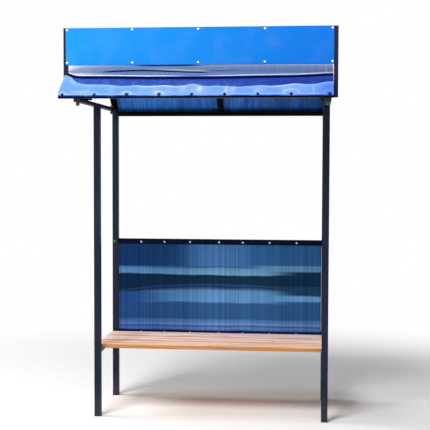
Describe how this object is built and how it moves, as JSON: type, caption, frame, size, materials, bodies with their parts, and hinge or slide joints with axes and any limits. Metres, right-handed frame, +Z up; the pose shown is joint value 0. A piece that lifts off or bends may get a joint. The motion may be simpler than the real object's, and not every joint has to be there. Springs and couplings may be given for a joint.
{
  "type": "bus shelter",
  "caption": "Open steel-tube bus shelter with an arched blue plastic roof and glossy front apron, a sign board on a frame above, a blue back panel and a board seat.",
  "frame": {"origin": "middle of the bounding box at ground level, under the posts' feet", "axes": "+X to the right seen from the front, +Y to the back, +Z up"},
  "size_m": [1.6, 1.1634, 2.381],
  "materials": {
    "frame_paint": "satin dark blue-grey enamel",
    "roof_plastic": "translucent blue cellular sheet",
    "panel_plastic": "translucent blue cellular sheet",
    "cover_film": "glossy blue film",
    "sign_panel": "smooth azure face",
    "white_caps": "white screw caps",
    "dark_screws": "dark blue screws",
    "zinc_screws": "zinc plated",
    "green_caps": "domed green caps",
    "black_plugs": "matt",
    "pine": "planed and oiled pine"
  },
  "bodies": {
    "root": {"post_front_left": "frame_paint", "post_front_right": "frame_paint", "post_rear_left": "frame_paint", "post_rear_right": "frame_paint", "side_rail_left": "frame_paint", "side_rail_right": "frame_paint", "front_beam": "frame_paint", "rear_beam": "frame_paint", "rib_left": "frame_paint", "rib_middle": "frame_paint", "rib_right": "frame_paint", "roof_sheet": "roof_plastic", "front_cover": "cover_film", "sign_upright_left": "frame_paint", "sign_upright_right": "frame_paint", "sign_packers": "frame_paint", "sign_crossbar": "frame_paint", "sign_bottom_bar": "frame_paint", "sign_top_bar": "frame_paint", "sign_board": "sign_panel", "panel_top_bar": "frame_paint", "panel_bottom_bar": "frame_paint", "back_panel": "panel_plastic", "seat_rail_left": "frame_paint", "seat_rail_right": "frame_paint", "seat_board_front": "pine", "seat_board_middle": "pine", "seat_board_rear": "pine", "cover_screws": "dark_screws", "roof_screws": "zinc_screws", "sign_screws": "white_caps", "panel_screws": "zinc_screws", "seat_screws": "zinc_screws", "rail_bolts": "green_caps", "bar_bolts": "green_caps", "rail_plugs": "black_plugs", "beam_plugs": "black_plugs", "upright_plugs": "black_plugs"}
  },
  "joints": []
}
